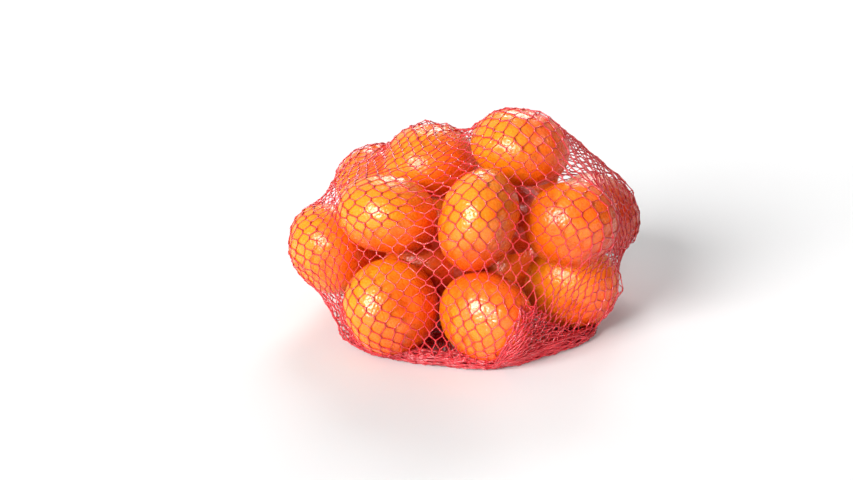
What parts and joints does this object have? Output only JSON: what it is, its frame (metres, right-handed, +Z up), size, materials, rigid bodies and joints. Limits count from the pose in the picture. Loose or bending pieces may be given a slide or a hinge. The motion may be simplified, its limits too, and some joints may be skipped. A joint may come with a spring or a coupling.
{
  "type": "net of mandarins",
  "caption": "Heap of round mandarins held in a tight tube of pink-red diamond mesh net, gathered low at the front and lying on its side.",
  "frame": {"origin": "on the floor under the middle of the heap's box", "axes": "+Z up, +X to the right along the heap's length as the picture shows it, +Y away from the viewer"},
  "size_m": [0.2177, 0.1788, 0.1357],
  "materials": {
    "mandarin_peel": "waxy half-gloss citrus peel with fine pores",
    "net_strand": "thin glossy extruded strands, slightly see-through",
    "stem_button": "dry brown-green star left at the stem end of a mandarin"
  },
  "bodies": {
    "root": {"net_of_mandarins": "mandarin_peel"}
  },
  "joints": []
}
